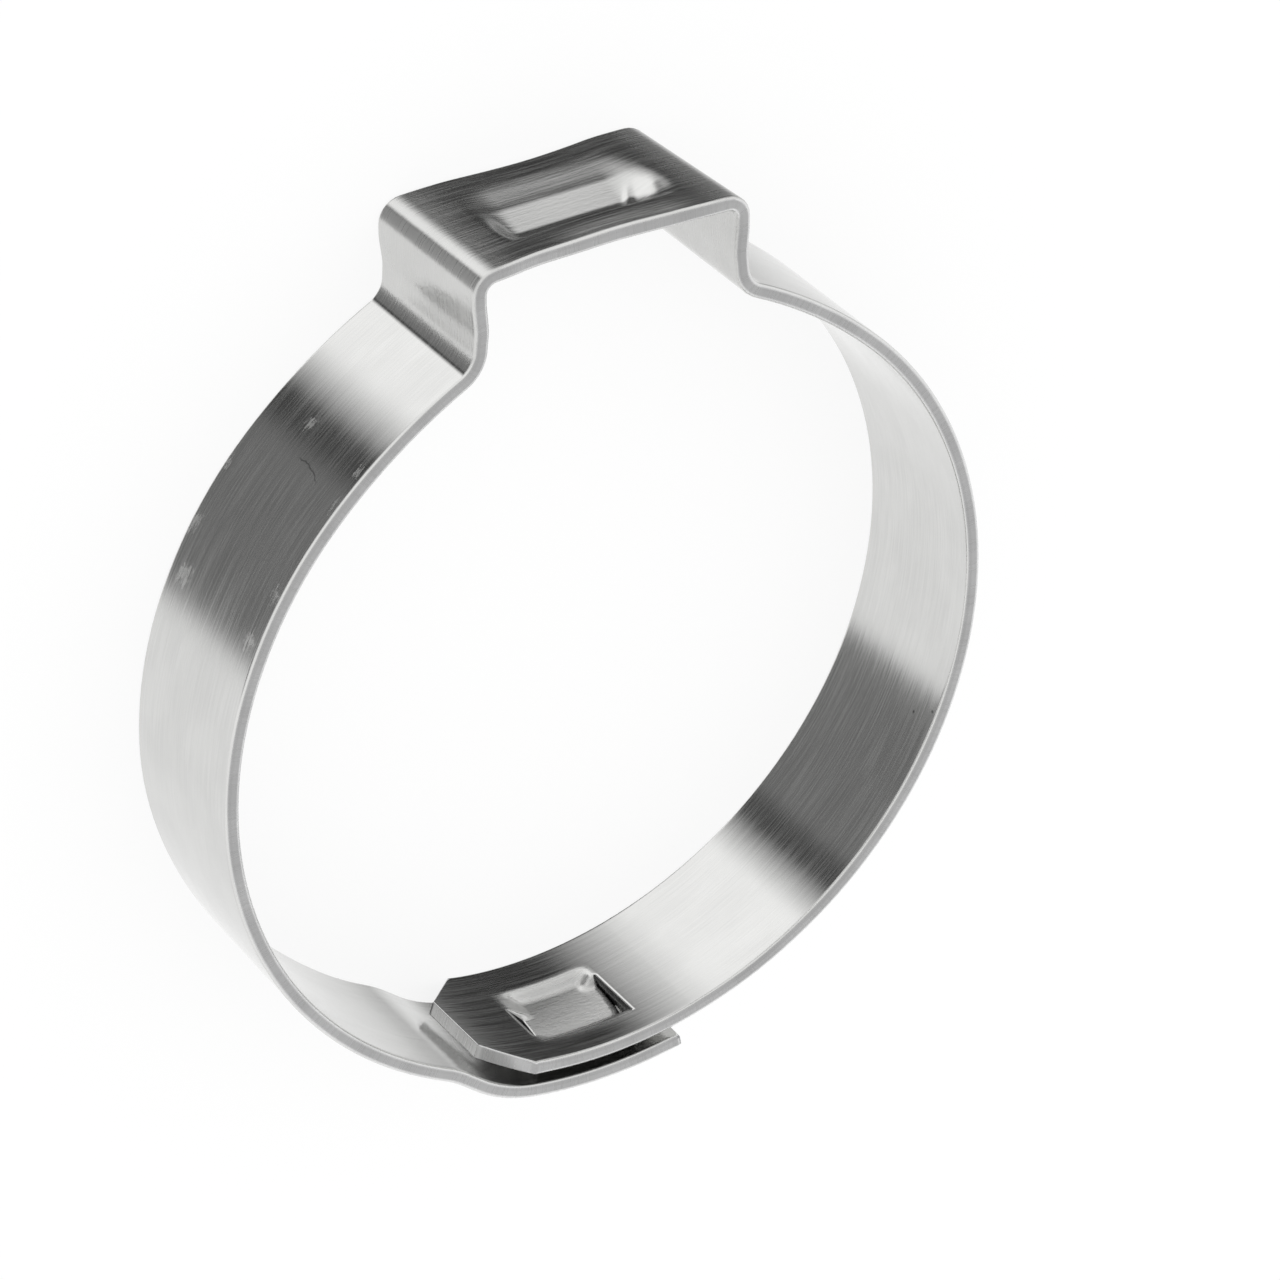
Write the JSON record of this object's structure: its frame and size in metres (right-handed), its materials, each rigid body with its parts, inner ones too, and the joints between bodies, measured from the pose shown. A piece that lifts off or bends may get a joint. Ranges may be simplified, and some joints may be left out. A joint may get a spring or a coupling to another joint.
{
  "type": "ear hose clamp",
  "caption": "Single ear hose clamp bent from one steel strip, with a dimpled box-shaped ear and overlapped ends locked by a pressed bridge.",
  "frame": {"origin": "axis of the ring, in the plane of the edge that the clamp lies on", "axes": "+Z along the ring's axis, away from the surface it lies on; +Y from the axis to the middle of the ear; +X from the ear toward the side whose end is the inner layer"},
  "size_m": [0.0446, 0.0507, 0.009],
  "materials": {
    "strip_steel": "satin brushed stainless strip, grain along the strip"
  },
  "bodies": {
    "root": {"clamp_band": "strip_steel"}
  },
  "joints": []
}
